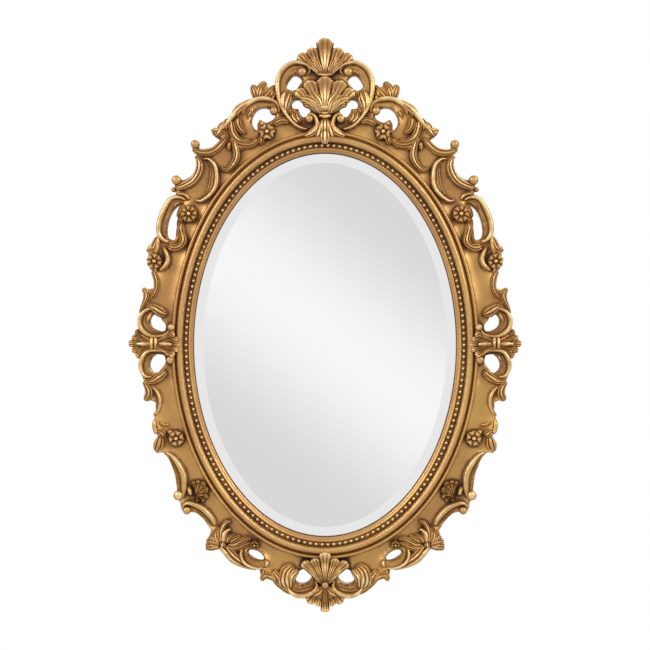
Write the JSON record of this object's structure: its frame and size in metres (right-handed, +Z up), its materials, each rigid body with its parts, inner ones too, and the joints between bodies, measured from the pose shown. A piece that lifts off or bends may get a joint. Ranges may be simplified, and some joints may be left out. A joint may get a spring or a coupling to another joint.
{
  "type": "oval wall mirror",
  "caption": "Oval bevelled wall mirror in a carved and pierced gilded rococo frame, with beaded moulding, backing board, retaining clips and swinging D-ring hangers.",
  "frame": {"origin": "centre of the oval on the back face of the frame board, where the wall-hanging interface is stated", "axes": "+Z up along the oval's long axis, +X to the right seen from the front, the glass faces -Y"},
  "size_m": [0.63, 0.046, 0.919],
  "materials": {
    "carved_wood": "bare board behind, gilded and antiqued in front",
    "gilt": "composition ornament and moulding, antique gold leaf with brown patina",
    "silvered_glass": "silvered glass with a bevelled edge",
    "hardboard": "smooth brown hardboard",
    "zinc_plate": "zinc-plated steel",
    "felt": "dark felt pads"
  },
  "bodies": {
    "frame": {"arch_leaf_left": "gilt", "arch_leaf_right": "gilt", "arch_scroll_left": "gilt", "arch_scroll_right": "gilt", "backing_board": "hardboard", "bead_string": "gilt", "bottom_pendant": "gilt", "bottom_ring_left": "gilt", "bottom_ring_right": "gilt", "bottom_shell": "gilt", "clip_screws": "zinc_plate", "crest_flower_left": "gilt", "crest_flower_right": "gilt", "crest_palmette": "gilt", "crest_scroll_left": "gilt", "crest_scroll_right": "gilt", "crest_shell": "gilt", "crest_stem": "gilt", "frame_base": "carved_wood", "hanger_screws": "zinc_plate", "hanger_straps": "zinc_plate", "loop_flower_left": "gilt", "loop_flower_right": "gilt", "loop_scroll_left": "gilt", "loop_scroll_right": "gilt", "lower_acanthus_left": "gilt", "lower_acanthus_right": "gilt", "lower_edge_scroll_left": "gilt", "lower_edge_scroll_right": "gilt", "lower_flower_left": "gilt", "lower_flower_right": "gilt", "lower_loop_left": "gilt", "lower_loop_right": "gilt", "lower_scroll_left": "gilt", "lower_scroll_right": "gilt", "lower_shell_left": "gilt", "lower_shell_right": "gilt", "mirror_glass": "silvered_glass", "retaining_clips": "zinc_plate", "shoulder_cartouche_left": "gilt", "shoulder_cartouche_right": "gilt", "shoulder_scroll_left": "gilt", "shoulder_scroll_right": "gilt", "side_flower_left": "gilt", "side_flower_right": "gilt", "side_leaf_lower_left": "gilt", "side_leaf_lower_right": "gilt", "side_leaf_upper_left": "gilt", "side_leaf_upper_right": "gilt", "side_palmette_left": "gilt", "side_palmette_right": "gilt", "side_ring_lower_left": "gilt", "side_ring_lower_right": "gilt", "side_ring_upper_left": "gilt", "side_ring_upper_right": "gilt", "sight_moulding": "gilt", "wall_pads": "felt"},
    "right_ring": {"d_ring_right": "zinc_plate"},
    "left_ring": {"d_ring_left": "zinc_plate"}
  },
  "joints": [
    {"name": "right_ring_swing", "type": "hinge", "parent": "frame", "child": "right_ring", "pos_m": [0.226, 0.003, 0.15], "axis": [1, 0, 0], "range_deg": [0, 178]},
    {"name": "left_ring_swing", "type": "hinge", "parent": "frame", "child": "left_ring", "pos_m": [-0.226, 0.003, 0.15], "axis": [1, 0, 0], "range_deg": [0, 178]}
  ]
}
